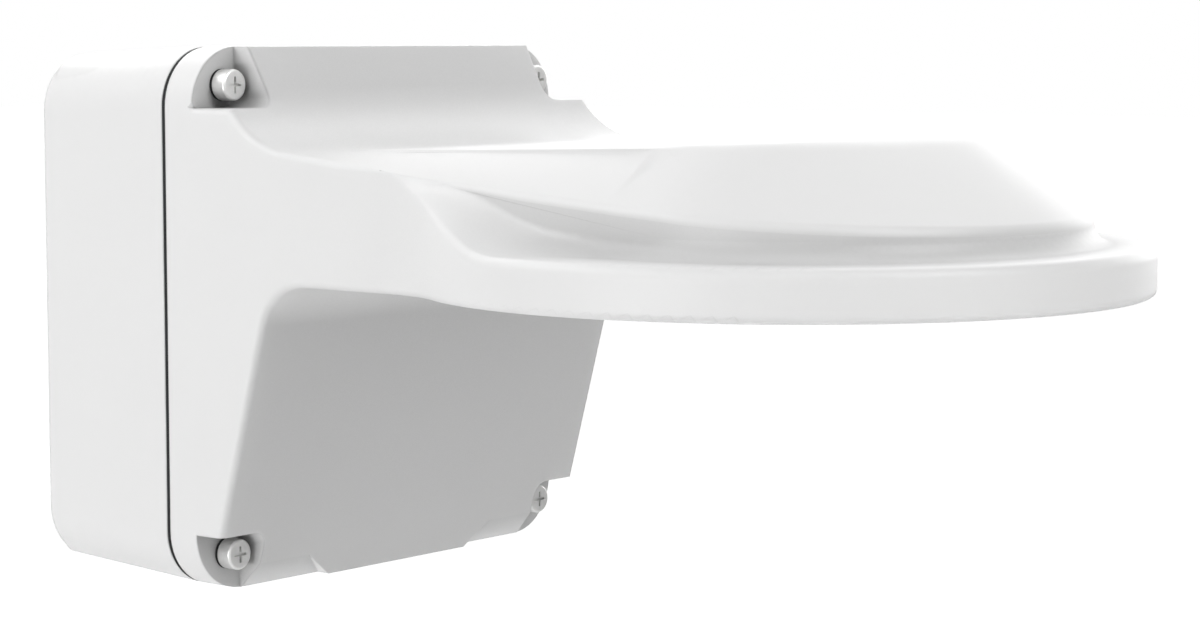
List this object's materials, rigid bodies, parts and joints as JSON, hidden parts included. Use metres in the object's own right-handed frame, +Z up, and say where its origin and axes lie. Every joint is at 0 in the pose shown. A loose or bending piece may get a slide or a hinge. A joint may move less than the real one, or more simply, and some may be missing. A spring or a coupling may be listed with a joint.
{
  "type": "camera bracket",
  "caption": "Wall bracket for a dome camera: square rear box, hollow cast arm with a faceted hood, and a round mounting dish facing down.",
  "frame": {"origin": "centre of the wall face of the rear box, which is also the centre of its four wall holes", "axes": "+Z up, -Y forward from the wall along the arm, +X to the right when the bracket is seen from the front"},
  "size_m": [0.1866, 0.2919, 0.1453],
  "materials": {
    "housing_paint": "white powder coat, fine satin texture",
    "black_rubber": "matt black moulded rubber",
    "screw_steel": "plain zinc plated steel",
    "retainer_plastic": "natural nylon",
    "plug_plastic": "white moulded plastic"
  },
  "bodies": {
    "root": {"rear_box": "housing_paint", "box_gasket": "black_rubber", "arm_housing": "housing_paint", "cover_screw_low_left": "screw_steel", "cover_screw_top_left": "screw_steel", "cover_screw_low_right": "screw_steel", "cover_screw_top_right": "screw_steel", "screw_seal_low_left": "black_rubber", "screw_seal_top_left": "black_rubber", "screw_seal_low_right": "black_rubber", "screw_seal_top_right": "black_rubber", "screw_retainer_low_left": "retainer_plastic", "screw_retainer_top_left": "retainer_plastic", "screw_retainer_low_right": "retainer_plastic", "screw_retainer_top_right": "retainer_plastic", "cable_grommet": "black_rubber", "conduit_plug": "plug_plastic", "conduit_plug_seal": "black_rubber", "earth_screw": "screw_steel", "earth_washer": "screw_steel"}
  },
  "joints": []
}
